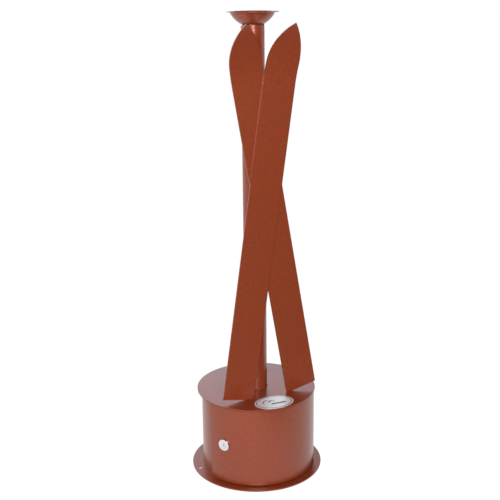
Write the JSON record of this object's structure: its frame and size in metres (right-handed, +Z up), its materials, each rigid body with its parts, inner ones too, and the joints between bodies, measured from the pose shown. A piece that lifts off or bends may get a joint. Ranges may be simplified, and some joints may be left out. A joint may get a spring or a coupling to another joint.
{
  "type": "floor-standing ashtray",
  "caption": "Floor-standing ashtray: a small bowl on a tube drops stubs into a round drum with a curved lockable door, with crossed ski-shaped panels in front.",
  "frame": {"origin": "centre of the floor flange, on its underside", "axes": "+Z up, the flat faces of the skis and the oval plate face -Y, the door's lock is towards -X and its hinges towards +X"},
  "size_m": [0.3, 0.3, 1.0255],
  "materials": {
    "paint": "copper-brown metallic powder coat, semi-gloss",
    "badge": "brushed",
    "chrome": "bright chrome plate",
    "zinc": "zinc plate",
    "galvanised": "galvanised sheet",
    "grate": "plain stainless sheet"
  },
  "bodies": {
    "stand": {"ash_bowl": "paint", "ash_pail": "galvanised", "badge_plate": "badge", "base_plate": "paint", "bowl_neck": "paint", "bowl_tack_1": "paint", "bowl_tack_2": "paint", "bowl_tack_3": "paint", "door_stop_lower": "paint", "door_stop_upper": "paint", "drum_back": "paint", "front_ski": "paint", "front_ski_weld": "paint", "hinge_pin_lower": "zinc", "hinge_pin_upper": "zinc", "hinge_post_lower": "paint", "hinge_post_upper": "paint", "lid_plate": "paint", "pail_ear_left": "galvanised", "pail_ear_right": "galvanised", "post_tube": "paint", "post_weld": "paint", "rear_ski": "paint", "rear_ski_weld": "paint", "shell_tack_1": "paint", "shell_tack_2": "paint", "shell_tack_3": "paint", "shell_tack_4": "paint", "shell_tack_5": "paint", "shell_tack_6": "paint", "standoff_lower": "paint", "standoff_upper": "paint"},
    "door": {"door_shell": "paint", "hinge_door_lower": "paint", "hinge_door_upper": "paint", "lock_housing": "chrome", "lock_nut": "zinc"},
    "lock": {"lock_plug": "chrome", "lock_tongue": "zinc", "tongue_screw": "zinc"},
    "grate": {"stub_grate": "grate"},
    "grip": {"pail_handle": "zinc"}
  },
  "joints": [
    {"name": "door_hinge", "type": "hinge", "parent": "stand", "child": "door", "pos_m": [0.1294, 0.02282, 0.0942], "axis": [0, 0, 1], "range_deg": [0, 105]},
    {"name": "lock_turn", "type": "hinge", "parent": "door", "child": "lock", "pos_m": [-0.10964, -0.07564, 0.09605], "axis": [-0.8231, -0.5678, 0], "range_deg": [0, 90]},
    {"name": "grate_lift", "type": "slide", "parent": "stand", "child": "grate", "axis": [0, 0, 1], "range_m": [0, 0.06]},
    {"name": "grip_swing", "type": "hinge", "parent": "stand", "child": "grip", "pos_m": [0.03064, -0.10022, 0.122], "axis": [-0.9563, -0.2924, 0], "range_deg": [0, 100]}
  ]
}
